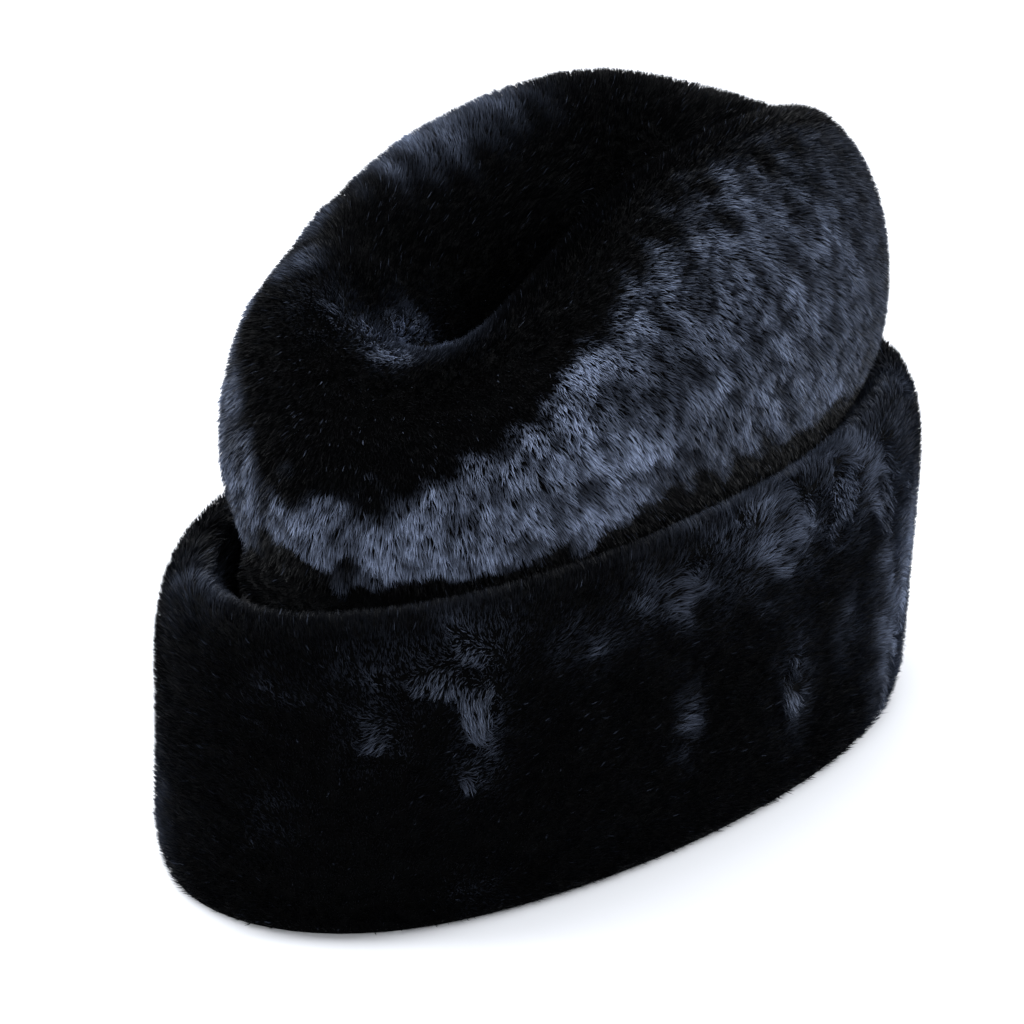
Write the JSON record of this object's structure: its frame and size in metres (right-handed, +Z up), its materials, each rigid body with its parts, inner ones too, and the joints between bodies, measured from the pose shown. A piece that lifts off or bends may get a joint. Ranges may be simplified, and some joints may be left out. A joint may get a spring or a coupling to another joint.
{
  "type": "cossack hat",
  "caption": "Soft black fur hat with a tall turned-up cuff all round and an oval crown dented lengthwise along its top.",
  "frame": {"origin": "middle of the hat's foot, on the surface that it stands on", "axes": "+Z up, -Y towards the front, +Y towards the back, +X towards the wearer's left"},
  "size_m": [0.1498, 0.2816, 0.1903],
  "materials": {
    "cloth": "black knitted backing cloth, matt",
    "fur": "black pile of faux fur with a cool grey sheen"
  },
  "bodies": {
    "root": {"crown": "cloth", "crown_fur": "fur", "cuff": "cloth", "cuff_fur": "fur"}
  },
  "joints": []
}
